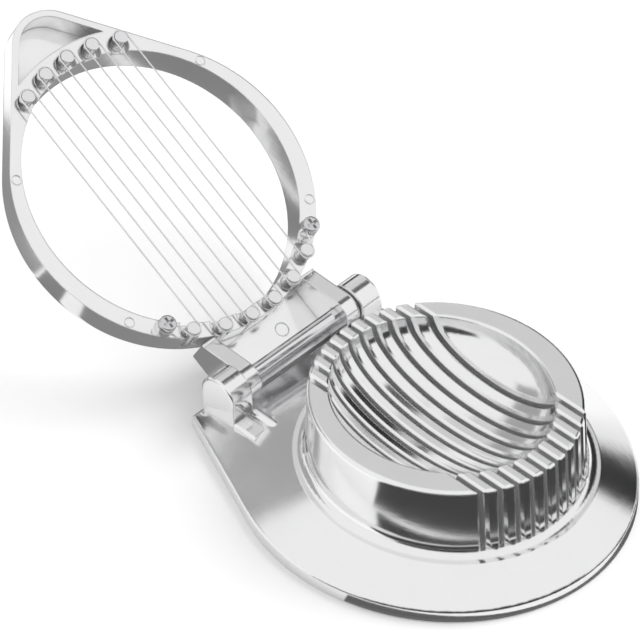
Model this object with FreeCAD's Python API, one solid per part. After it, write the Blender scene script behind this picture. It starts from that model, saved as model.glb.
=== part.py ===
import FreeCAD, Part
import math
import os

# Round egg slicer in die-cast metal, drawn open. Sizes are in millimetres.
# The origin is on the drum axis at the table. +X points from the hinge to the
# front, +Y runs along the hinge pin and +Z is up.

# Drum that holds the egg
DRUM_TOP_Z = 35.1
DRUM_FOOT_Z = 12.0
DRUM_FOOT_SEMI = (41.6, 37.8)
DRUM_TOP_SEMI = (40.7, 37.2)
DRUM_TOP_ROUND = 1.2
DRUM_FOOT_FILLET = 3.2
BOWL_SEMI = (33.5, 29.5)
BOWL_DEPTH = 15.3
BOWL_CENTRE_X = -1.5
BOWL_RIM_ROUND = 0.8

# Slots between the ribs, one for each pass of the cutting wire
PASS_COUNT = 10
PASS_PITCH = 4.61
SLOT_WIDTH = 1.2
SLOT_FLOOR_Z = 13.4
SLOT_EDGE_BEVEL = 0.7
# The tools that bevel a slot's edges stand this far above the surface they cut.
BEVEL_TOOL_RISE = 0.8

# Sloping flange and its hollow underside
RIM_TOP_Z = 4.4
RIM_ROUND = 1.0
RIM_SEMI = (60.75, 54.9)
RIM_CENTRE_X = -5.0
REAR_CORNER = (-69.6, 33.5)
FLANGE_TOP_SEMI = (45.4, 41.6)
FLANGE_WALL = 2.6
CAVITY_REAR_X = -58.0

# Hinge
PIN_X = -61.5
PIN_Z = 14.7
PIN_RADIUS = 2.05
PIN_HALF_LENGTH = 28.0
PIN_END_CHAMFER = 0.4
PIN_RUNNING_CLEARANCE = 0.05
LUG_INNER_Y = 22.9
LUG_OUTER_Y = 30.5
LUG_RADIUS = 6.6
LUG_ROUND = 0.7
PLINTH_TOP_Z = 5.4
PLINTH_MARGIN = 1.2
KNUCKLE_RADIUS = 5.2
KNUCKLE_INNER_Y = 17.5
KNUCKLE_OUTER_Y = 22.5
KNUCKLE_GAP = 0.6
OPEN_ANGLE = 148.5
STOP_GAP = 0.4
NOTCH_X = -66.2

# Cast pads and ridges in front of the lugs
PAD_SIZE = (9.0, 5.5)
PAD_CENTRE = (-50.0, 28.6)
PAD_TOP_Z = 9.6
PAD_EDGE_ROUND = 0.8
RIDGE_ENDS_X = (-53.0, -45.5)
RIDGE_Y = 23.6
RIDGE_RADIUS = 1.5
RIDGE_Z = 9.4

# Cutting frame, given as it lies when closed
RING_CENTRE_X = -2.4
RING_WALL_RADIUS = 52.0
RING_FACE_Z = 16.9
BORE_SEMI = (43.9, 41.9)
BORE_CENTRE_X = -1.0
RING_FRONT_WALL = 1.7
RING_OUTER_RADIUS = BORE_CENTRE_X + BORE_SEMI[0] + RING_FRONT_WALL - RING_CENTRE_X
PLATE_TOP_Z = 27.4
PLATE_THICKNESS = 3.0
PLATE_EDGE_ROUND = 2.8
TIP_CENTRE_X = 50.2
TIP_RADIUS = 12.8
SKIRT_WALL = 2.2
REAR_EDGE_X = -64.5
EJECTOR_MARK_RADIUS = 1.5
EJECTOR_MARK_DEPTH = 0.3
EJECTOR_MARK_CIRCLE = 45.1
EJECTOR_MARK_ANGLES = (54.6, 126.0, -54.6, -126.0)
HINGE_MARK_CENTRE = (-55.0, 6.0)
HINGE_MARK_RADIUS = 2.1

# Cutting wire, its posts and its clamp screws, given as they lie when closed
WIRE_DIAMETER = 0.5
WIRE_Z = 14.0
TIP_POST_CIRCLE = 47.9
HINGE_POST_CIRCLE = 45.2
POST_END_Z = 13.2
POST_GRIP = 4.0
POST_END_ROUND = 0.3
POST_POCKET_RADIUS = 3.2
POST_POCKET_SHIFT = 1.0
POST_POCKET_DEPTH = 2.0
SCREW_CENTRE = (-36.0, 29.1)
SCREW_HEAD_RADIUS = 2.6
SCREW_HEAD_HEIGHT = 1.7
SCREW_HEAD_ROUND = 0.8
SCREW_SHANK_RADIUS = 1.4
SCREW_DEPTH = 7.0
SCREW_SEAT_MARGIN = 0.1
SCREW_SEAT_RADIUS = SCREW_HEAD_RADIUS + SCREW_SEAT_MARGIN
SCREW_CROSS = (3.4, 0.8, 0.9)
WIRE_SHANK_GAP = 0.1
WIRE_TAIL = 1.4

POST_RADIUS = PASS_PITCH / 2 - WIRE_DIAMETER / 2
PLATE_UNDER_Z = PLATE_TOP_Z - PLATE_THICKNESS
SEAT_Z = WIRE_Z + WIRE_DIAMETER / 2
# Cutting and joining solids stand this far past the faces they meet.
CUT_MARGIN = 1.0
PIN_AXIS_POINT = FreeCAD.Vector(PIN_X, 0, PIN_Z)
UP = FreeCAD.Vector(0, 0, 1)
ALONG_Y = FreeCAD.Vector(0, 1, 0)


def vec(x, y, z):
    return FreeCAD.Vector(x, y, z)


def box(x_range, y_range, z_range):
    """A box between two values on each axis."""
    size = (x_range[1] - x_range[0], y_range[1] - y_range[0], z_range[1] - z_range[0])
    return Part.makeBox(*size, vec(x_range[0], y_range[0], z_range[0]))


def post(x, y, radius, z_low, z_high):
    """An upright cylinder."""
    return Part.makeCylinder(radius, z_high - z_low, vec(x, y, z_low), UP)


def bar(x, z, radius, y_low, y_high):
    """A cylinder along Y."""
    return Part.makeCylinder(radius, y_high - y_low, vec(x, y_low, z), ALONG_Y)


def prism(points, direction):
    """A closed polygon pushed along a direction."""
    wire = Part.makePolygon(points + [points[0]])
    return Part.Face(wire).extrude(direction)


def oval_wire(semi, centre_x, z):
    ellipse = Part.Ellipse(vec(centre_x, 0, z), semi[0], semi[1])
    return Part.Wire(ellipse.toShape())


def oval_prism(semi, centre_x, z_low, z_high):
    face = Part.Face(oval_wire(semi, centre_x, z_low))
    return face.extrude(vec(0, 0, z_high - z_low))


def fuse_all(shapes):
    return shapes[0].multiFuse(shapes[1:]).removeSplitter()


def edges_where(shape, test):
    return [edge for edge in shape.Edges if test(edge)]


def edge_level(edge, z):
    """True when the whole edge lies in the level plane at z."""
    limits = edge.BoundBox
    return abs(limits.ZMin - z) < 0.01 and abs(limits.ZMax - z) < 0.01


def tangent_point(centre, radius, outside, turn):
    """Where a line from an outside point touches a circle. turn is 1 or -1."""
    dx = outside[0] - centre[0]
    dy = outside[1] - centre[1]
    angle = math.atan2(dy, dx) + turn * math.acos(radius / math.hypot(dx, dy))
    return (centre[0] + radius * math.cos(angle), centre[1] + radius * math.sin(angle))


def flange_edges(semi, centre_x, corner, z):
    """Outline of the flange: an oval run into two rear corners by straight sides."""
    squash = semi[0] / semi[1]
    touch = tangent_point((centre_x, 0), semi[0], (corner[0], corner[1] * squash), -1)
    angle = math.atan2(touch[1], touch[0] - centre_x)
    ellipse = Part.Ellipse(vec(centre_x, 0, z), semi[0], semi[1])
    side = vec(touch[0], touch[1] / squash, z)
    rear = vec(corner[0], corner[1], z)
    mirror_side = vec(side.x, -side.y, z)
    mirror_rear = vec(rear.x, -rear.y, z)
    edges = [Part.ArcOfEllipse(ellipse, -angle, angle).toShape()]
    edges.append(Part.makeLine(side, rear))
    edges.append(Part.makeLine(rear, mirror_rear))
    edges.append(Part.makeLine(mirror_rear, mirror_side))
    return edges, angle


def oval_edges(semi, angle, corner, z):
    """An oval cut into arcs that match the edges of the flange outline."""
    ellipse = Part.Ellipse(vec(0, 0, z), semi[0], semi[1])
    rear_angle = math.atan2(corner[1], corner[0])
    stops = [-angle, angle, rear_angle, 2 * math.pi - rear_angle, 2 * math.pi - angle]
    return [Part.ArcOfEllipse(ellipse, a, b).toShape() for a, b in zip(stops, stops[1:])]


def sloped_solid(low_edges, high_edges):
    """A solid between two level outlines joined by straight slopes."""
    faces = [Part.makeRuledSurface(low, high) for low, high in zip(low_edges, high_edges)]
    faces.append(Part.Face(Part.Wire(low_edges)))
    faces.append(Part.Face(Part.Wire(high_edges)))
    shell = Part.makeShell(faces)
    shell.sewShape()
    solid = Part.makeSolid(shell)
    if solid.Volume < 0:
        solid.reverse()
    return solid


def flange_body(semi, corner, z_low, z_rim, top_semi, z_top):
    """Upright rim band with the sloping flange on top of it."""
    rim_edges, angle = flange_edges(semi, RIM_CENTRE_X, corner, z_rim)
    top_edges = oval_edges(top_semi, angle, corner, z_top)
    slope = sloped_solid(rim_edges, top_edges)
    base_edges, angle = flange_edges(semi, RIM_CENTRE_X, corner, z_low)
    band = Part.Face(Part.Wire(base_edges)).extrude(vec(0, 0, z_rim - z_low))
    return fuse_all([band, slope])


def drum():
    foot = oval_wire(DRUM_FOOT_SEMI, 0, DRUM_FOOT_Z)
    top = oval_wire(DRUM_TOP_SEMI, 0, DRUM_TOP_Z)
    return Part.makeLoft([foot, top], True, True)


def bowl_tool():
    """The hollow that holds the egg: half an ellipsoid."""
    ball = Part.makeSphere(1.0)
    stretch = FreeCAD.Matrix()
    stretch.scale(BOWL_SEMI[0], BOWL_SEMI[1], BOWL_DEPTH)
    ball = ball.transformGeometry(stretch)
    ball.translate(vec(BOWL_CENTRE_X, 0, DRUM_TOP_Z))
    return ball


def pass_positions():
    middle = (PASS_COUNT - 1) / 2
    return [(index - middle) * PASS_PITCH for index in range(PASS_COUNT)]


def bevel_rows():
    """Two rows on one 45 degree line: half-width from a slot's middle, and depth below the surface."""
    deep = (SLOT_WIDTH / 4, SLOT_EDGE_BEVEL + SLOT_WIDTH / 4)
    high = (SLOT_WIDTH / 2 + SLOT_EDGE_BEVEL + BEVEL_TOOL_RISE, -BEVEL_TOOL_RISE)
    return deep, high


def wall_x(y, z):
    """How far the drum's wall stands from the middle, at a width and a height."""
    share = (z - DRUM_FOOT_Z) / (DRUM_TOP_Z - DRUM_FOOT_Z)
    long_semi = DRUM_FOOT_SEMI[0] + (DRUM_TOP_SEMI[0] - DRUM_FOOT_SEMI[0]) * share
    wide_semi = DRUM_FOOT_SEMI[1] + (DRUM_TOP_SEMI[1] - DRUM_FOOT_SEMI[1]) * share
    return long_semi * math.sqrt(1 - (y / wide_semi) ** 2)


def top_bevel(y, reach):
    """Bevels a slot's edges along the flat top."""
    (deep, depth), (high, lift) = bevel_rows()
    corners = [(y - high, DRUM_TOP_Z - lift), (y - deep, DRUM_TOP_Z - depth),
               (y + deep, DRUM_TOP_Z - depth), (y + high, DRUM_TOP_Z - lift)]
    points = [vec(-reach, across, z) for across, z in corners]
    return Part.Face(Part.makePolygon(points + points[:1])).extrude(vec(2 * reach, 0, 0))


def wall_bevel(y, side):
    """Bevels a slot's edges down the drum's wall. side is 1 in front and -1 at the hinge."""
    (deep, depth), (high, lift) = bevel_rows()
    wires = []
    for z in (SLOT_FLOOR_Z, DRUM_TOP_Z + CUT_MARGIN):
        corners = [(wall_x(y + shift, z) - inward, y + shift)
                   for shift, inward in ((-high, lift), (-deep, depth), (deep, depth), (high, lift))]
        points = [vec(side * x, across, z) for x, across in corners]
        wires.append(Part.makePolygon(points + points[:1]))
    return Part.makeLoft(wires, True, True)


def bowl_bevel(y, side):
    """Bevels one edge of a slot across the bowl. side is 1 or -1."""
    wires = []
    for shift, inward in bevel_rows():
        across = y + side * shift
        narrowing = math.sqrt(1 - (across / BOWL_SEMI[1]) ** 2)
        long_semi = BOWL_SEMI[0] * narrowing + inward
        depth = BOWL_DEPTH * narrowing + inward
        middle = vec(BOWL_CENTRE_X, across, DRUM_TOP_Z)
        oval = Part.Ellipse(middle + vec(long_semi, 0, 0), middle + vec(0, 0, depth), middle)
        wires.append(Part.Wire(oval.toShape()))
    return Part.makeLoft(wires, True, True)


def slot_tools():
    reach = DRUM_FOOT_SEMI[0] + FLANGE_WALL
    tools = []
    for y in pass_positions():
        sides = (y - SLOT_WIDTH / 2, y + SLOT_WIDTH / 2)
        tools.append(box((-reach, reach), sides, (SLOT_FLOOR_Z, DRUM_TOP_Z + CUT_MARGIN)))
        tools.append(top_bevel(y, reach))
        for side in (1, -1):
            tools.append(wall_bevel(y, side))
            tools.append(bowl_bevel(y, side))
    return tools


def lug(side):
    """One hinge lug with its blind pin hole, on its plinth."""
    arch = bar(PIN_X, PIN_Z, LUG_RADIUS, LUG_INNER_Y, LUG_OUTER_Y)
    sides_x = (PIN_X - LUG_RADIUS, PIN_X + LUG_RADIUS)
    stem = box(sides_x, (LUG_INNER_Y, LUG_OUTER_Y), (RIM_TOP_Z, PIN_Z))
    shape = fuse_all([arch, stem])
    outer_face = [edge for edge in shape.Edges if edge.BoundBox.YMin > LUG_OUTER_Y - 0.01]
    rounded = [edge for edge in outer_face if edge.BoundBox.ZMax > RIM_TOP_Z + 0.01]
    shape = shape.makeFillet(LUG_ROUND, rounded)
    plinth_x = (sides_x[0], sides_x[1] + PLINTH_MARGIN)
    plinth_y = (LUG_INNER_Y, LUG_OUTER_Y + PLINTH_MARGIN)
    plinth = box(plinth_x, plinth_y, (0, PLINTH_TOP_Z))
    shape = fuse_all([shape, plinth])
    if side < 0:
        shape = shape.mirror(vec(0, 0, 0), ALONG_Y)
    return shape


def pad(side):
    x_mid, y_mid = PAD_CENTRE
    half_x = PAD_SIZE[0] / 2
    half_y = PAD_SIZE[1] / 2
    y_low = side * y_mid - half_y
    block = box((x_mid - half_x, x_mid + half_x), (y_low, y_low + 2 * half_y), (RIM_TOP_Z, PAD_TOP_Z))
    top_edges = edges_where(block, lambda edge: edge_level(edge, PAD_TOP_Z))
    return block.makeFillet(PAD_EDGE_ROUND, top_edges)


def ridge(side):
    """A low ridge with round ends, lying along X."""
    start = vec(RIDGE_ENDS_X[0], side * RIDGE_Y, RIDGE_Z)
    length = RIDGE_ENDS_X[1] - RIDGE_ENDS_X[0]
    rod = Part.makeCylinder(RIDGE_RADIUS, length, start, vec(1, 0, 0))
    shapes = [rod]
    for x in RIDGE_ENDS_X:
        shapes.append(Part.makeSphere(RIDGE_RADIUS, vec(x, side * RIDGE_Y, RIDGE_Z)))
    return fuse_all(shapes)


def arm_profile(growth):
    """Side view of an arm when closed, from the knuckle up to the plate."""
    radius = KNUCKLE_RADIUS + growth
    rear_top = (REAR_EDGE_X - growth, PLATE_TOP_Z)
    front_low = (BORE_CENTRE_X - BORE_SEMI[0] - SKIRT_WALL, RING_FACE_Z - growth)
    rear_touch = tangent_point((PIN_X, PIN_Z), radius, rear_top, 1)
    front_touch = tangent_point((PIN_X, PIN_Z), radius, front_low, -1)
    return [rear_top, (front_low[0], PLATE_TOP_Z), front_low, front_touch, (PIN_X, PIN_Z), rear_touch]


def arm(y_low, y_high, growth=0.0):
    outline = [vec(x, y_low, z) for x, z in arm_profile(growth)]
    web = prism(outline, vec(0, y_high - y_low, 0))
    knuckle = bar(PIN_X, PIN_Z, KNUCKLE_RADIUS + growth, y_low, y_high)
    return fuse_all([web, knuckle])


def opened(shape):
    """The shape turned about the hinge pin to the open position."""
    turned = shape.copy()
    turned.rotate(PIN_AXIS_POINT, ALONG_Y, -OPEN_ANGLE)
    return turned


def hinge_notch():
    """Room in the base for the arms; its slope is the stop for the open frame."""
    half = LUG_INNER_Y
    rear = box((REAR_CORNER[0] - CUT_MARGIN, NOTCH_X), (-half, half), (-CUT_MARGIN, DRUM_FOOT_Z))
    arms = opened(arm(-half, half, STOP_GAP))
    knuckles = bar(PIN_X, PIN_Z, KNUCKLE_RADIUS + KNUCKLE_GAP, -half, half)
    return fuse_all([rear, arms, knuckles])


def underside_hollow():
    semi = (RIM_SEMI[0] - FLANGE_WALL, RIM_SEMI[1] - FLANGE_WALL)
    corner = (CAVITY_REAR_X, REAR_CORNER[1] - FLANGE_WALL)
    top_semi = (FLANGE_TOP_SEMI[0] - FLANGE_WALL, FLANGE_TOP_SEMI[1] - FLANGE_WALL)
    rim_z = RIM_TOP_Z - FLANGE_WALL / 2
    return flange_body(semi, corner, -1, rim_z, top_semi, DRUM_FOOT_Z - FLANGE_WALL)


def base_casting():
    flange = flange_body(RIM_SEMI, REAR_CORNER, 0, RIM_TOP_Z, FLANGE_TOP_SEMI, DRUM_FOOT_Z)
    body = fuse_all([flange, drum()])
    foot = edges_where(body, lambda edge: edge_level(edge, DRUM_FOOT_Z) and edge.isClosed())
    body = body.makeFillet(DRUM_FOOT_FILLET, foot)
    top = edges_where(body, lambda edge: edge_level(edge, DRUM_TOP_Z))
    body = body.makeFillet(DRUM_TOP_ROUND, top)
    rim = edges_where(body, lambda edge: edge_level(edge, RIM_TOP_Z))
    body = body.makeFillet(RIM_ROUND, rim)
    body = body.cut(bowl_tool())
    bowl_rim = edges_where(body, lambda edge: edge_level(edge, DRUM_TOP_Z)
                           and edge.BoundBox.XMax < BOWL_SEMI[0] + CUT_MARGIN)
    body = body.makeFillet(BOWL_RIM_ROUND, bowl_rim)
    body = fuse_all([body, lug(1), lug(-1), pad(1), pad(-1), ridge(1), ridge(-1)])
    body = body.cut([hinge_notch(), underside_hollow()])
    pin_hole = bar(PIN_X, PIN_Z, PIN_RADIUS, -PIN_HALF_LENGTH, PIN_HALF_LENGTH)
    body = body.cut([pin_hole] + slot_tools())
    return body.removeSplitter()


def hinge_pin():
    pin = bar(PIN_X, PIN_Z, PIN_RADIUS, -PIN_HALF_LENGTH, PIN_HALF_LENGTH)
    ends = edges_where(pin, lambda edge: isinstance(edge.Curve, Part.Circle))
    return pin.makeChamfer(PIN_END_CHAMFER, ends)


def frame_outline(inset, z_low, z_high):
    """The ring circle and the tip circle joined by tangent sides."""
    ring = RING_OUTER_RADIUS - inset
    tip = TIP_RADIUS - inset
    angle = math.acos((ring - tip) / (TIP_CENTRE_X - RING_CENTRE_X))
    points = []
    for centre, radius in ((RING_CENTRE_X, ring), (TIP_CENTRE_X, tip)):
        points.append((centre + radius * math.cos(angle), radius * math.sin(angle)))
    corners = [points[0], points[1], (points[1][0], -points[1][1]), (points[0][0], -points[0][1])]
    height = z_high - z_low
    middle = prism([vec(x, y, z_low) for x, y in corners], vec(0, 0, height))
    shapes = [middle]
    shapes.append(post(RING_CENTRE_X, 0, ring, z_low, z_high))
    shapes.append(post(TIP_CENTRE_X, 0, tip, z_low, z_high))
    return fuse_all(shapes)


def tip_post_positions():
    """Centres of the posts at the tip, which turn the wire back."""
    count = PASS_COUNT // 2
    positions = []
    for index in range(count):
        y = (2 * index - count + 1) * PASS_PITCH
        positions.append((RING_CENTRE_X + math.sqrt(TIP_POST_CIRCLE ** 2 - y ** 2), y))
    return positions


def hinge_post_positions():
    """Centres of the posts at the hinge; the outer two lead the wire ends away."""
    count = PASS_COUNT // 2 + 1
    positions = []
    for index in range(count):
        y = (2 * index - count + 1) * PASS_PITCH
        positions.append((RING_CENTRE_X - math.sqrt(HINGE_POST_CIRCLE ** 2 - y ** 2), y))
    return positions


def post_pocket(x, y):
    """Pocket in the ring face round a post, shifted towards the bore."""
    distance = math.hypot(x - RING_CENTRE_X, y)
    share = (distance - POST_POCKET_SHIFT) / distance
    pocket_x = RING_CENTRE_X + (x - RING_CENTRE_X) * share
    z_low = RING_FACE_Z - CUT_MARGIN
    return post(pocket_x, y * share, POST_POCKET_RADIUS, z_low, RING_FACE_Z + POST_POCKET_DEPTH)


def post_top_z():
    return RING_FACE_Z + POST_POCKET_DEPTH + POST_GRIP


def screw_centres():
    return [(SCREW_CENTRE[0], -SCREW_CENTRE[1]), SCREW_CENTRE]


def frame_recesses():
    """Hollows cut into the frame from below, up to the plate."""
    z_low = RING_FACE_Z - 1
    tip = frame_outline(SKIRT_WALL, z_low, PLATE_UNDER_Z)
    tip = tip.cut(post(RING_CENTRE_X, 0, RING_WALL_RADIUS, z_low - CUT_MARGIN, PLATE_UNDER_Z + CUT_MARGIN))
    front_x = RING_CENTRE_X - RING_OUTER_RADIUS + SKIRT_WALL
    rear_x = REAR_EDGE_X + SKIRT_WALL
    hinge = box((rear_x, front_x), (-KNUCKLE_INNER_Y, KNUCKLE_INNER_Y), (z_low, PLATE_UNDER_Z))
    ring = post(RING_CENTRE_X, 0, RING_OUTER_RADIUS, z_low - CUT_MARGIN, PLATE_UNDER_Z + CUT_MARGIN)
    hinge = hinge.cut(ring)
    return [tip, hinge]


def ejector_mark(x, y, radius, face_z):
    return post(x, y, radius, face_z - CUT_MARGIN, face_z + EJECTOR_MARK_DEPTH)


def ejector_marks():
    marks = []
    for degrees in EJECTOR_MARK_ANGLES:
        angle = math.radians(degrees)
        x = RING_CENTRE_X + EJECTOR_MARK_CIRCLE * math.cos(angle)
        y = EJECTOR_MARK_CIRCLE * math.sin(angle)
        marks.append(ejector_mark(x, y, EJECTOR_MARK_RADIUS, RING_FACE_Z))
    x, y = HINGE_MARK_CENTRE
    marks.append(ejector_mark(x, y, HINGE_MARK_RADIUS, PLATE_UNDER_Z))
    return marks


def cutting_frame():
    outline = frame_outline(0, RING_FACE_Z, PLATE_TOP_Z)
    rear_block = box((REAR_EDGE_X, RING_CENTRE_X - BORE_SEMI[0]),
                     (-KNUCKLE_OUTER_Y, KNUCKLE_OUTER_Y), (RING_FACE_Z, PLATE_TOP_Z))
    body = fuse_all([outline, rear_block])
    top = edges_where(body, lambda edge: edge_level(edge, PLATE_TOP_Z))
    body = body.makeFillet(PLATE_EDGE_ROUND, top)
    body = body.cut(frame_recesses())
    bore_z = (RING_FACE_Z - CUT_MARGIN, PLATE_TOP_Z + CUT_MARGIN)
    body = body.cut(oval_prism(BORE_SEMI, BORE_CENTRE_X, *bore_z))
    gap = (REAR_EDGE_X - CUT_MARGIN, RING_CENTRE_X - RING_OUTER_RADIUS)
    between_knuckles = (-KNUCKLE_INNER_Y, KNUCKLE_INNER_Y)
    body = body.cut(box(gap, between_knuckles, (RING_FACE_Z - CUT_MARGIN, PLATE_UNDER_Z)))
    arms = [arm(KNUCKLE_INNER_Y, KNUCKLE_OUTER_Y), arm(-KNUCKLE_OUTER_Y, -KNUCKLE_INNER_Y)]
    top_cap = box((REAR_EDGE_X - CUT_MARGIN, 0), (-KNUCKLE_OUTER_Y, KNUCKLE_OUTER_Y),
                  (PLATE_TOP_Z - PLATE_EDGE_ROUND, PLATE_TOP_Z + CUT_MARGIN))
    arms = [shape.cut(top_cap) for shape in arms]
    seats = [post(x, y, SCREW_SEAT_RADIUS, SEAT_Z, RING_FACE_Z + CUT_MARGIN) for x, y in screw_centres()]
    body = fuse_all([body] + arms + seats)
    body = body.cut(oval_prism(BORE_SEMI, BORE_CENTRE_X, SEAT_Z - CUT_MARGIN, PLATE_TOP_Z + CUT_MARGIN))
    posts = tip_post_positions() + hinge_post_positions()
    cuts = [post_pocket(x, y) for x, y in posts]
    cuts += [post(x, y, POST_RADIUS, POST_END_Z, post_top_z()) for x, y in posts]
    hole_z = (SEAT_Z - CUT_MARGIN, SEAT_Z + SCREW_DEPTH)
    cuts += [post(x, y, SCREW_SHANK_RADIUS, *hole_z) for x, y in screw_centres()]
    cuts += ejector_marks()
    bore = PIN_RADIUS + PIN_RUNNING_CLEARANCE
    cuts.append(bar(PIN_X, PIN_Z, bore, -KNUCKLE_OUTER_Y - CUT_MARGIN, KNUCKLE_OUTER_Y + CUT_MARGIN))
    return body.cut(cuts).removeSplitter()


def wire_post(x, y):
    shape = post(x, y, POST_RADIUS, POST_END_Z, post_top_z())
    end = edges_where(shape, lambda edge: edge_level(edge, POST_END_Z))
    return shape.makeFillet(POST_END_ROUND, end)


def clamp_screw(x, y):
    """Pan-head screw with a cross recess; its head presses the wire to the seat."""
    head_top = WIRE_Z - WIRE_DIAMETER / 2
    head_low = head_top - SCREW_HEAD_HEIGHT
    head = post(x, y, SCREW_HEAD_RADIUS, head_low, head_top)
    rim = edges_where(head, lambda edge: edge_level(edge, head_low))
    head = head.makeFillet(SCREW_HEAD_ROUND, rim)
    shank = post(x, y, SCREW_SHANK_RADIUS, head_top, SEAT_Z + SCREW_DEPTH)
    length, width, depth = SCREW_CROSS
    z_range = (head_low - CUT_MARGIN, head_low + depth)
    long_x = box((x - length / 2, x + length / 2), (y - width / 2, y + width / 2), z_range)
    long_y = box((x - width / 2, x + width / 2), (y - length / 2, y + length / 2), z_range)
    return fuse_all([head, shank]).cut([long_x, long_y])


def arc_edge(centre, radius, start_angle, mid_angle, end_angle):
    points = []
    for angle in (start_angle, mid_angle, end_angle):
        x = centre[0] + radius * math.cos(angle)
        y = centre[1] + radius * math.sin(angle)
        points.append(vec(x, y, WIRE_Z))
    return Part.Arc(*points).toShape()


def lead_edges(hinge_centre, side):
    """Wire end: beside a clamp screw's shank, under its head, then round an outer hinge post.

    side is 1 or -1.
    """
    bend = PASS_PITCH / 2
    beside = SCREW_SHANK_RADIUS + WIRE_DIAMETER / 2 + WIRE_SHANK_GAP
    across = SCREW_CENTRE[0] - hinge_centre[0]
    along = SCREW_CENTRE[1] - hinge_centre[1]
    spread = math.hypot(across, along)
    heading = math.atan2(along, across) - math.asin((bend + beside) / spread)
    reach = math.sqrt(spread ** 2 - (bend + beside) ** 2) + WIRE_TAIL
    angle = heading + math.pi / 2
    touch_x = hinge_centre[0] + bend * math.cos(angle)
    touch_y = hinge_centre[1] + bend * math.sin(angle)
    end_x = touch_x + reach * math.cos(heading)
    end_y = touch_y + reach * math.sin(heading)
    stop = 1.5 * math.pi
    arc = arc_edge(hinge_centre, bend, angle, (angle + stop) / 2, stop)
    line = Part.makeLine(vec(end_x, end_y, WIRE_Z), vec(touch_x, touch_y, WIRE_Z))
    if side > 0:
        return [line, arc]
    return [edge.mirror(vec(0, 0, 0), ALONG_Y) for edge in (line, arc)]


def cutting_wire():
    """One length of wire led to and fro between the posts."""
    bend = PASS_PITCH / 2
    tips = tip_post_positions()
    hinges = hinge_post_positions()
    edges = lead_edges((hinges[-1][0], hinges[-1][1]), -1)
    quarter = math.pi / 2
    for index, tip in enumerate(tips):
        near = hinges[index]
        far = hinges[index + 1]
        y_out = tip[1] - bend
        y_back = tip[1] + bend
        edges.append(Part.makeLine(vec(near[0], y_out, WIRE_Z), vec(tip[0], y_out, WIRE_Z)))
        edges.append(arc_edge(tip, bend, -quarter, 0, quarter))
        edges.append(Part.makeLine(vec(tip[0], y_back, WIRE_Z), vec(far[0], y_back, WIRE_Z)))
        if index < len(tips) - 1:
            edges.append(arc_edge(far, bend, -quarter, -2 * quarter, -3 * quarter))
    edges += lead_edges((hinges[-1][0], hinges[-1][1]), 1)
    path = Part.Wire(Part.__sortEdges__(edges))
    start = path.OrderedVertexes[0].Point
    heading = path.OrderedEdges[0].tangentAt(path.OrderedEdges[0].FirstParameter)
    section = Part.Wire(Part.makeCircle(WIRE_DIAMETER / 2, start, heading))
    return path.makePipeShell([section], True, False)


def build():
    os.makedirs("parts", exist_ok=True)
    nodes = {"base_casting": base_casting(), "hinge_pin": hinge_pin()}
    nodes["cutting_frame"] = opened(cutting_frame())
    for index, (x, y) in enumerate(tip_post_positions(), start=1):
        nodes["tip_post_%d" % index] = opened(wire_post(x, y))
    for index, (x, y) in enumerate(hinge_post_positions(), start=1):
        nodes["hinge_post_%d" % index] = opened(wire_post(x, y))
    for name, (x, y) in zip(("clamp_screw_right", "clamp_screw_left"), screw_centres()):
        nodes[name] = opened(clamp_screw(x, y))
    nodes["cutting_wire"] = opened(cutting_wire())
    for name, shape in nodes.items():
        shape.exportStep("parts/%s.step" % name)


build()
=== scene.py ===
import math

import bpy
from mathutils import Matrix, Vector

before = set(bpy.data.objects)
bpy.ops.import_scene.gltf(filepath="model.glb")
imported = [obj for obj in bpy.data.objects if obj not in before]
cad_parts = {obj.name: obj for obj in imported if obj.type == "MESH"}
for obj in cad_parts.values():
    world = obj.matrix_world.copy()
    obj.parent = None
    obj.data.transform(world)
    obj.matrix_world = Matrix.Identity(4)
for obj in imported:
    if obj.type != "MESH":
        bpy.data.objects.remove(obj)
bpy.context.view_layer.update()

# Camera: azimuth 0 looks along +Y and 90 looks along -X
CAMERA_AZIMUTH = math.radians(46.36)
CAMERA_ELEVATION = math.radians(43.04)
CAMERA_ROLL = math.radians(-2.16)
CAMERA_DISTANCE = 1.27427
CAMERA_AIM = Vector((-0.04391, -0.00551, 0.03945))
CAMERA_LENS = 253.1
CAMERA_SENSOR = 36.0
CAMERA_CLIP = (0.05, 50.0)

# Studio
FLOOR_HALF_SIZE = 6.0
FLOOR_COLOUR = (0.80, 0.80, 0.80, 1.0)
FLOOR_LIFT = 0.08
WORLD_COLOUR = (1.0, 1.0, 1.0, 1.0)
WORLD_LEVEL = 0.95
# The lamp stands to the camera's right and a little behind the object. Only matt surfaces
# see it, so it shades the floor and leaves the polished metal alone.
LAMP_TOWARDS = (0.40, 0.60, 0.69)
LAMP_LEVEL = 1.67
LAMP_WIDTH_DEGREES = 45.0

# Cards that only reflections show. Those round the object are (name, azimuth and elevation of
# the middle seen from the object, angular width and height, brightness). Azimuths count from
# the camera's side.
CARD_DISTANCE = 2.4
CARDS = [
    ("card_behind_right", 145, 26, 54, 42, 0.03),
    ("card_behind_left", -140, 26, 60, 36, 0.40),
    ("card_opposite", 180, 43, 40, 26, 0.68),
    ("card_high_stripe", 146, 59, 26, 9, 0.06),
    ("card_front_low", 12, 8, 120, 42, 0.05),
    ("card_behind_low", 184, 7, 56, 18, 0.03),
]
# Sectors on the floor round the foot are (name, from azimuth, to azimuth, inner radius,
# outer radius, brightness).
FLOOR_SECTORS = [
    ("floor_card_front", -50, 100, 0.0585, 0.60, 0.06),
    ("floor_card_at_rim", -35, 100, 0.0450, 0.0568, 0.12),
]
FLOOR_SECTOR_STEP = 3
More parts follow.
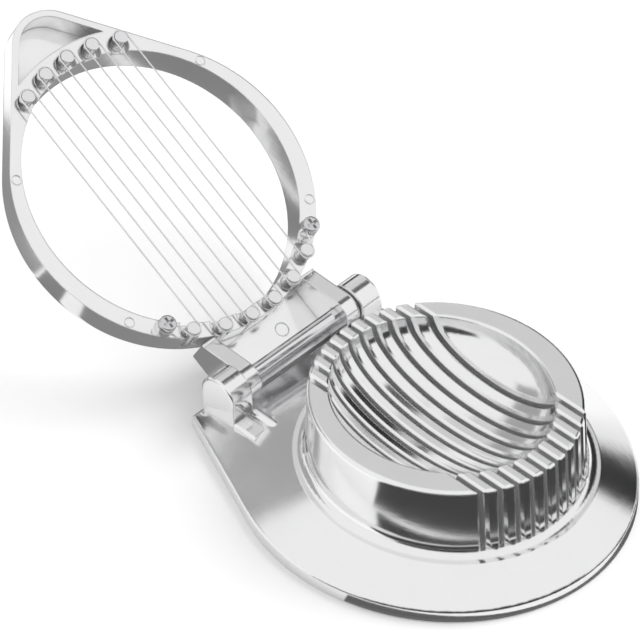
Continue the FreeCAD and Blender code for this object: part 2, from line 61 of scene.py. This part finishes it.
# Strips on the floor under the raised frame are (name, low x, high x, low y, high y, brightness).
FLOOR_STRIPS = [
    ("floor_card_under_tip", -0.270, -0.150, -0.085, 0.085, 0.30),
    ("floor_card_under_ring", -0.150, -0.126, -0.085, 0.085, 0.24),
    ("floor_card_by_hinge", -0.114, -0.080, -0.085, 0.085, 0.26),
]
CARD_EDGE_SOFTNESS = 0.12
FLOOR_STRIP_SOFTNESS = 0.05
FLOOR_SECTOR_SOFTNESS = 0.006
FLOOR_CARD_HEIGHT = 0.0004

# Metals are (name, colour, least and most roughness, scale and strength of the slow waves,
# strength of the polishing marks, radius of the soft edges).
CASTING = ("polished_casting", (0.90, 0.90, 0.905, 1.0), (0.09, 0.17), (35.0, 0.04), 0.05, 0.0006)
STEEL = ("bright_steel", (0.80, 0.80, 0.81, 1.0), (0.10, 0.18), (50.0, 0.05), 0.05, 0.0003)
SCREW = ("plated_screw", (0.66, 0.66, 0.67, 1.0), (0.18, 0.30), (200.0, 0.10), 0.10, 0.00015)
WIRE = ("stainless_wire", (0.92, 0.92, 0.92, 1.0), (0.40, 0.50), (200.0, 0.02), 0.02, 0.00005)
# The metal of each node, by a word of its name
METAL_OF_WORD = {
    "casting": CASTING,
    "frame": CASTING,
    "pin": STEEL,
    "post": STEEL,
    "screw": SCREW,
    "wire": WIRE,
}
METAL_IOR = 1.45
# Patches of slightly darker and smoother metal
PATCH_SCALE = 90.0
PATCH_DETAIL = 4.0
PATCH_ROUGHNESS = 0.6
PATCH_SHADE = 0.94
WAVE_DETAIL = 2.0
WAVE_HEIGHT = 0.001
# Polishing marks run along X.
MARK_STRETCH = (60.0, 900.0, 900.0)
MARK_DETAIL = 3.0
MARK_HEIGHT = 0.0002
# The polish doesn't reach into sheltered corners, which are matt; their darkening is painted
# shade. Both pairs are the open share of the surroundings, within the reach, where the effect is
# full and gone.
CREVICE_REACH = 0.006
CREVICE_PAINTED_SHADE = (0.20, 0.60)
CREVICE_MATT = (0.05, 0.40)
CREVICE_SHADE_TONE = 0.70
# Rays of the shelter and soft edge nodes
NODE_SAMPLES = 4


def camera_axes():
    """The camera's right, up and forward directions."""
    sin_a, cos_a = math.sin(CAMERA_AZIMUTH), math.cos(CAMERA_AZIMUTH)
    sin_e, cos_e = math.sin(CAMERA_ELEVATION), math.cos(CAMERA_ELEVATION)
    forward = Vector((-sin_a * cos_e, cos_a * cos_e, -sin_e))
    level = Vector((cos_a, sin_a, 0.0))
    steep = level.cross(forward)
    sin_r, cos_r = math.sin(CAMERA_ROLL), math.cos(CAMERA_ROLL)
    right = level * cos_r + steep * sin_r
    up = steep * cos_r - level * sin_r
    return right, up, forward


def add_camera():
    right, up, forward = camera_axes()
    data = bpy.data.cameras.new("camera")
    data.lens = CAMERA_LENS
    data.sensor_width = CAMERA_SENSOR
    data.clip_start, data.clip_end = CAMERA_CLIP
    camera = bpy.data.objects.new("camera", data)
    turn = Matrix((right, up, -forward)).transposed().to_4x4()
    camera.matrix_world = Matrix.Translation(CAMERA_AIM - forward * CAMERA_DISTANCE) @ turn
    bpy.context.scene.collection.objects.link(camera)
    bpy.context.scene.camera = camera


def new_material(name):
    material = bpy.data.materials.new(name)
    material.use_nodes = True
    material.node_tree.nodes.clear()
    return material, material.node_tree.nodes, material.node_tree.links


def node(nodes, kind, **inputs):
    """A new node with its input sockets set by name."""
    made = nodes.new(kind)
    for name, value in inputs.items():
        made.inputs[name.replace("_", " ")].default_value = value
    return made


def math_node(nodes, operation):
    made = nodes.new("ShaderNodeMath")
    made.operation = operation
    return made


def colour_mix(nodes, **settings):
    """A new colour mix node with its settings set by name."""
    made = nodes.new("ShaderNodeMix")
    made.data_type = "RGBA"
    for name, value in settings.items():
        setattr(made, name, value)
    return made


def metal(name, colour, roughness, wave, mark_strength, edge_radius):
    """Polished metal: soft edges, slow waves, fine polishing marks, uneven gloss, and matt metal
    with painted shade in sheltered corners.
    """
    material, nodes, links = new_material(name)
    output = nodes.new("ShaderNodeOutputMaterial")
    shader = node(nodes, "ShaderNodeBsdfPrincipled", IOR=METAL_IOR)
    place = nodes.new("ShaderNodeTexCoord")

    patches = node(nodes, "ShaderNodeTexNoise", Scale=PATCH_SCALE, Detail=PATCH_DETAIL,
                   Roughness=PATCH_ROUGHNESS)
    tint = colour_mix(nodes)
    tint.inputs["A"].default_value = [value * PATCH_SHADE for value in colour[:3]] + [1.0]
    tint.inputs["B"].default_value = colour
    gloss = node(nodes, "ShaderNodeMapRange", To_Min=roughness[0], To_Max=roughness[1])

    # Painted shade: the colour is darkened where the surroundings are closed in, as in corners,
    # slots, between parts and near the floor.
    shelter = node(nodes, "ShaderNodeAmbientOcclusion", Distance=CREVICE_REACH)
    shelter.samples = NODE_SAMPLES
    painted_shade = node(nodes, "ShaderNodeMapRange", From_Min=CREVICE_PAINTED_SHADE[0], From_Max=CREVICE_PAINTED_SHADE[1],
                To_Min=CREVICE_SHADE_TONE)
    polish = node(nodes, "ShaderNodeMapRange", From_Min=CREVICE_MATT[0], From_Max=CREVICE_MATT[1])
    shaded_colour = colour_mix(nodes, blend_type="MULTIPLY")
    shaded_colour.inputs["Factor"].default_value = 1.0

    slow = node(nodes, "ShaderNodeTexNoise", Scale=wave[0], Detail=WAVE_DETAIL)
    stretch = node(nodes, "ShaderNodeMapping", Scale=MARK_STRETCH)
    marks = node(nodes, "ShaderNodeTexNoise", Scale=1.0, Detail=MARK_DETAIL)
    soft_edge = node(nodes, "ShaderNodeBevel", Radius=edge_radius)
    soft_edge.samples = NODE_SAMPLES
    waves = node(nodes, "ShaderNodeBump", Strength=wave[1], Distance=WAVE_HEIGHT)
    fine_marks = node(nodes, "ShaderNodeBump", Strength=mark_strength, Distance=MARK_HEIGHT)

    links.new(place.outputs["Object"], patches.inputs["Vector"])
    links.new(patches.outputs["Fac"], tint.inputs["Factor"])
    links.new(patches.outputs["Fac"], gloss.inputs["Value"])
    links.new(place.outputs["Object"], slow.inputs["Vector"])
    links.new(place.outputs["Object"], stretch.inputs["Vector"])
    links.new(stretch.outputs["Vector"], marks.inputs["Vector"])
    links.new(soft_edge.outputs["Normal"], waves.inputs["Normal"])
    links.new(slow.outputs["Fac"], waves.inputs["Height"])
    links.new(waves.outputs["Normal"], fine_marks.inputs["Normal"])
    links.new(marks.outputs["Fac"], fine_marks.inputs["Height"])
    links.new(shelter.outputs["AO"], painted_shade.inputs["Value"])
    links.new(shelter.outputs["AO"], polish.inputs["Value"])
    links.new(tint.outputs["Result"], shaded_colour.inputs["A"])
    links.new(painted_shade.outputs["Result"], shaded_colour.inputs["B"])
    links.new(polish.outputs["Result"], shader.inputs["Metallic"])
    links.new(shaded_colour.outputs["Result"], shader.inputs["Base Color"])
    links.new(gloss.outputs["Result"], shader.inputs["Roughness"])
    links.new(fine_marks.outputs["Normal"], shader.inputs["Normal"])
    links.new(shader.outputs["BSDF"], output.inputs["Surface"])
    return material


def finish_nodes():
    """Gives every CAD node its metal."""
    materials = {finish[0]: metal(*finish) for finish in (CASTING, STEEL, SCREW, WIRE)}
    for name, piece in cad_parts.items():
        finish = next(METAL_OF_WORD[word] for word in METAL_OF_WORD if word in name.split("_"))
        piece.data.materials.clear()
        piece.data.materials.append(materials[finish[0]])


def floor_material():
    """Diffuse white with a lift for camera, glossy and transmission rays."""
    material, nodes, links = new_material("studio_floor")
    output = nodes.new("ShaderNodeOutputMaterial")
    cloth = node(nodes, "ShaderNodeBsdfDiffuse", Color=FLOOR_COLOUR)
    lift = node(nodes, "ShaderNodeEmission", Color=(1.0, 1.0, 1.0, 1.0))
    path = nodes.new("ShaderNodeLightPath")
    seen = math_node(nodes, "MAXIMUM")
    also = math_node(nodes, "MAXIMUM")
    level = math_node(nodes, "MULTIPLY")
    level.inputs[1].default_value = FLOOR_LIFT
    both = nodes.new("ShaderNodeAddShader")
    links.new(path.outputs["Is Camera Ray"], seen.inputs[0])
    links.new(path.outputs["Is Glossy Ray"], seen.inputs[1])
    links.new(seen.outputs[0], also.inputs[0])
    links.new(path.outputs["Is Transmission Ray"], also.inputs[1])
    links.new(also.outputs[0], level.inputs[0])
    links.new(level.outputs[0], lift.inputs["Strength"])
    links.new(cloth.outputs["BSDF"], both.inputs[0])
    links.new(lift.outputs["Emission"], both.inputs[1])
    links.new(both.outputs["Shader"], output.inputs["Surface"])
    return material


def card_material(name, brightness, softness):
    """Plain glow that fades to nothing towards the card's edges."""
    material, nodes, links = new_material(name)
    output = nodes.new("ShaderNodeOutputMaterial")
    glow = node(nodes, "ShaderNodeEmission", Strength=brightness)
    clear = nodes.new("ShaderNodeBsdfTransparent")
    blend = nodes.new("ShaderNodeMixShader")
    place = nodes.new("ShaderNodeTexCoord")
    split = nodes.new("ShaderNodeSeparateXYZ")
    nearest = math_node(nodes, "MINIMUM")
    fade = node(nodes, "ShaderNodeMapRange", From_Max=softness)
    fade.interpolation_type = "SMOOTHSTEP"
    links.new(place.outputs["UV"], split.inputs["Vector"])
    for index, axis in enumerate("XY"):
        inward = math_node(nodes, "PINGPONG")
        inward.inputs[1].default_value = 0.5
        links.new(split.outputs[axis], inward.inputs[0])
        links.new(inward.outputs[0], nearest.inputs[index])
    links.new(nearest.outputs[0], fade.inputs["Value"])
    links.new(fade.outputs["Result"], blend.inputs["Fac"])
    links.new(clear.outputs["BSDF"], blend.inputs[1])
    links.new(glow.outputs["Emission"], blend.inputs[2])
    links.new(blend.outputs["Shader"], output.inputs["Surface"])
    return material


def stage_mesh(name, low_row, high_row, material):
    """A flat band between two rows of points; u runs along the rows and v across them."""
    count = len(low_row)
    points = [tuple(point) for point in list(low_row) + list(high_row)]
    faces = [(i, i + 1, count + i + 1, count + i) for i in range(count - 1)]
    mesh = bpy.data.meshes.new(name)
    mesh.from_pydata(points, [], faces)
    across = mesh.uv_layers.new(name="card").data
    for loop in mesh.loops:
        row, column = divmod(loop.vertex_index, count)
        across[loop.index].uv = (column / (count - 1), row)
    mesh.materials.append(material)
    piece = bpy.data.objects.new(name, mesh)
    bpy.context.scene.collection.objects.link(piece)
    return piece


def reflection_card(name, low_row, high_row, brightness, softness):
    """A card that only reflections show, so the plain light stays as it is."""
    card = stage_mesh(name, low_row, high_row, card_material(name, brightness, softness))
    card.visible_camera = False
    card.visible_diffuse = False
    card.visible_shadow = False


def heading(azimuth):
    """Level direction at an azimuth in degrees, counted from the camera's side to the right."""
    angle = CAMERA_AZIMUTH - math.pi / 2 + math.radians(azimuth)
    return Vector((math.cos(angle), math.sin(angle), 0.0))


def add_floor():
    size = FLOOR_HALF_SIZE
    near = [(-size, -size, 0), (size, -size, 0)]
    far = [(-size, size, 0), (size, size, 0)]
    stage_mesh("floor", near, far, floor_material())


def add_cards():
    """Cards that stand round the object and face it."""
    for name, azimuth, elevation, width, height, brightness in CARDS:
        tilt = math.radians(elevation)
        outward = heading(azimuth) * math.cos(tilt) + Vector((0, 0, math.sin(tilt)))
        side = heading(azimuth + 90)
        wide = side * CARD_DISTANCE * math.tan(math.radians(width / 2))
        high = outward.cross(side) * CARD_DISTANCE * math.tan(math.radians(height / 2))
        middle = outward * CARD_DISTANCE
        low_row = [middle - wide - high, middle + wide - high]
        high_row = [middle - wide + high, middle + wide + high]
        reflection_card(name, low_row, high_row, brightness, CARD_EDGE_SOFTNESS)


def add_floor_cards():
    """Cards that lie just above the floor, round the foot and under the frame."""
    lift = Vector((0, 0, FLOOR_CARD_HEIGHT))
    for name, start, stop, near, far, brightness in FLOOR_SECTORS:
        steps = range(start, stop + 1, FLOOR_SECTOR_STEP)
        inner = [heading(step) * near + lift for step in steps]
        outer = [heading(step) * far + lift for step in steps]
        reflection_card(name, inner, outer, brightness, FLOOR_SECTOR_SOFTNESS)
    for name, low_x, high_x, low_y, high_y, brightness in FLOOR_STRIPS:
        low_row = [Vector((low_x, low_y, 0)) + lift, Vector((high_x, low_y, 0)) + lift]
        high_row = [Vector((low_x, high_y, 0)) + lift, Vector((high_x, high_y, 0)) + lift]
        reflection_card(name, low_row, high_row, brightness, FLOOR_STRIP_SOFTNESS)


def add_lamp():
    """A wide, soft lamp that casts the shadow beside the base."""
    lamp = bpy.data.lights.new("shadow_lamp", "SUN")
    lamp.energy = LAMP_LEVEL
    lamp.angle = math.radians(LAMP_WIDTH_DEGREES)
    stand = bpy.data.objects.new("shadow_lamp", lamp)
    stand.rotation_euler = Vector(LAMP_TOWARDS).to_track_quat("Z", "Y").to_euler()
    stand.visible_glossy = False
    bpy.context.scene.collection.objects.link(stand)


def light_scene():
    """Plain white light from all round, shown without a look."""
    world = bpy.data.worlds.new("studio")
    world.use_nodes = True
    background = world.node_tree.nodes["Background"]
    background.inputs["Color"].default_value = WORLD_COLOUR
    background.inputs["Strength"].default_value = WORLD_LEVEL
    bpy.context.scene.world = world
    bpy.context.scene.view_settings.view_transform = "Standard"


add_camera()
finish_nodes()
add_floor()
add_cards()
add_floor_cards()
light_scene()
add_lamp()
